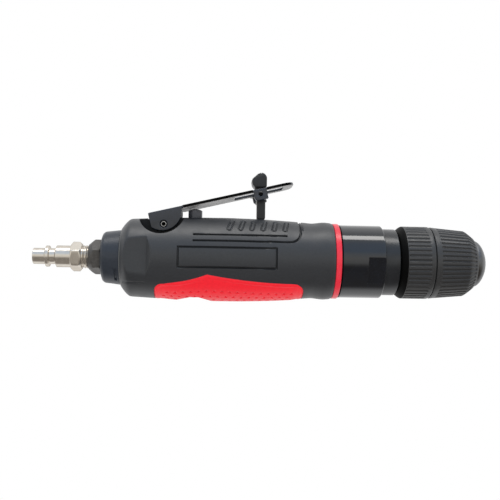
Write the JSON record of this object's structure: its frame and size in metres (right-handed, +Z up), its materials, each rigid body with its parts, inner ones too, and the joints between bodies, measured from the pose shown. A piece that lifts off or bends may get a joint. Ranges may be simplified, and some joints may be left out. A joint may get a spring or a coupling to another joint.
{
  "type": "air drill",
  "caption": "Straight air drill with a lever throttle and flip lock, moulded grip, turning exhaust cap, planetary gear and keyless chuck.",
  "frame": {"origin": "middle of the air plug's end face, on the spindle axis", "axes": "+X along the spindle towards the chuck, +Z up towards the lever, +Y to the tool's left seen from behind"},
  "size_m": [0.2386, 0.0438, 0.0687],
  "materials": {
    "plated_steel": "bright nickel plate",
    "blackened_steel": "black oxide, satin",
    "black_enamel": "gloss black enamel",
    "grip_plastic": "fine-grained dark grey",
    "red_plastic": "satin red",
    "sleeve_plastic": "satin charcoal",
    "cast_aluminium": "machined",
    "cast_iron": "ground",
    "tool_steel": "ground or turned",
    "spring_steel": "drawn wire",
    "brass": "turned",
    "rubber": "nitrile",
    "felt": "pressed felt",
    "blade_composite": "laminated"
  },
  "bodies": {
    "housing": {"air_nipple": "plated_steel", "inlet_bushing": "blackened_steel", "inlet_screen": "brass", "motor_housing": "cast_aluminium", "grip_sleeve": "grip_plastic", "grip_insert": "red_plastic", "lever_pin": "tool_steel", "valve_bushing": "brass", "valve_spring": "spring_steel", "regulator_pin": "tool_steel", "rear_end_plate": "cast_iron", "motor_cylinder": "cast_iron", "front_end_plate": "cast_iron", "cylinder_pin": "tool_steel", "motor_bearing_outer": "tool_steel", "motor_bearing_balls": "tool_steel", "trim_ring": "red_plastic", "gear_case": "black_enamel", "nose_cap": "blackened_steel", "ring_gear": "tool_steel", "spindle_bearing_outer": "tool_steel", "spindle_bearing_balls": "tool_steel"},
    "deflector": {"exhaust_deflector": "grip_plastic", "exhaust_silencer": "felt"},
    "lever": {"throttle_lever": "black_enamel", "lock_pin": "tool_steel", "lock_spring": "spring_steel"},
    "lock": {"safety_lock": "black_enamel"},
    "valve": {"valve_stem": "tool_steel", "valve_seal": "rubber"},
    "regulator": {"regulator": "tool_steel", "regulator_seal": "rubber"},
    "rotor": {"rotor": "tool_steel", "rotor_blades": "blade_composite", "motor_bearing_inner": "tool_steel"},
    "spindle": {"spindle": "tool_steel", "planet_pins": "tool_steel", "spindle_bearing_inner": "tool_steel", "chuck_body": "tool_steel", "chuck_rear_sleeve": "sleeve_plastic", "chuck_thrust_washer": "tool_steel", "chuck_screw": "tool_steel"},
    "planet_1": {"planet_gear_1": "tool_steel"},
    "planet_2": {"planet_gear_2": "tool_steel"},
    "planet_3": {"planet_gear_3": "tool_steel"},
    "chuck_sleeve": {"chuck_front_sleeve": "sleeve_plastic", "chuck_nut": "tool_steel", "chuck_nut_collar": "tool_steel"},
    "jaw_1": {"chuck_jaw_1": "tool_steel"},
    "jaw_2": {"chuck_jaw_2": "tool_steel"},
    "jaw_3": {"chuck_jaw_3": "tool_steel"}
  },
  "joints": [
    {"name": "lever_hinge", "type": "hinge", "parent": "housing", "child": "lever", "pos_m": [0.0681, 0, 0.0174], "axis": [0, 1, 0], "range_deg": [0, 10], "stiffness_Nm_per_rad": 0.6, "springref_deg": -14.32},
    {"name": "lock_hinge", "type": "hinge", "parent": "lever", "child": "lock", "pos_m": [0.11856, 0, 0.03425], "axis": [0, 1, 0], "range_deg": [0, 80.5], "stiffness_Nm_per_rad": 0.01, "springref_deg": -22.92, "deforming": ["lock_spring"]},
    {"name": "valve_slide", "type": "slide", "parent": "housing", "child": "valve", "axis": [0, 0, -1], "range_m": [0, 0.0029], "deforming": ["valve_spring"]},
    {"name": "regulator_turn", "type": "hinge", "parent": "housing", "child": "regulator", "pos_m": [0.0843, 0, -0.0199], "axis": [0, 0, 1], "range_deg": [-90, 90]},
    {"name": "deflector_spin", "type": "hinge", "parent": "housing", "child": "deflector", "pos_m": [0.0359, 0, 0], "axis": [1, 0, 0], "continuous": true},
    {"name": "chuck_spin", "type": "hinge", "parent": "housing", "child": "spindle", "pos_m": [0.1913, 0, 0], "axis": [1, 0, 0], "continuous": true},
    {"name": "rotor_spin", "type": "hinge", "parent": "housing", "child": "rotor", "pos_m": [0.106, 0, 0], "axis": [1, 0, 0], "continuous": true},
    {"name": "planet_1_spin", "type": "hinge", "parent": "spindle", "child": "planet_1", "pos_m": [0.1666, 0.009, 0], "axis": [1, 0, 0], "continuous": true},
    {"name": "planet_2_spin", "type": "hinge", "parent": "spindle", "child": "planet_2", "pos_m": [0.1666, -0.0045, 0.00779], "axis": [1, 0, 0], "continuous": true},
    {"name": "planet_3_spin", "type": "hinge", "parent": "spindle", "child": "planet_3", "pos_m": [0.1666, -0.0045, -0.00779], "axis": [1, 0, 0], "continuous": true},
    {"name": "sleeve_turn", "type": "hinge", "parent": "spindle", "child": "chuck_sleeve", "pos_m": [0.2093, 0, 0], "axis": [-1, 0, 0], "range_deg": [0, 4320]},
    {"name": "jaw_1_slide", "type": "slide", "parent": "spindle", "child": "jaw_1", "axis": [0.9744, 0, -0.225], "range_m": [0, 0.02045]},
    {"name": "jaw_2_slide", "type": "slide", "parent": "spindle", "child": "jaw_2", "axis": [0.9744, 0.1948, 0.1125], "range_m": [0, 0.02045]},
    {"name": "jaw_3_slide", "type": "slide", "parent": "spindle", "child": "jaw_3", "axis": [0.9744, -0.1948, 0.1125], "range_m": [0, 0.02045]}
  ],
  "couplings": [
    {"joint": "lock_hinge", "follows": "lever_hinge", "ratio": 8},
    {"joint": "valve_slide", "follows": "lever_hinge", "m_per_rad": 0.016345},
    {"joint": "rotor_spin", "follows": "chuck_spin", "ratio": 5},
    {"joint": "planet_1_spin", "follows": "chuck_spin", "ratio": -2.6667},
    {"joint": "planet_2_spin", "follows": "chuck_spin", "ratio": -2.6667},
    {"joint": "planet_3_spin", "follows": "chuck_spin", "ratio": -2.6667},
    {"joint": "jaw_1_slide", "follows": "sleeve_turn", "m_per_rad": 0.00027056},
    {"joint": "jaw_2_slide", "follows": "sleeve_turn", "m_per_rad": 0.00027056},
    {"joint": "jaw_3_slide", "follows": "sleeve_turn", "m_per_rad": 0.00027056}
  ]
}
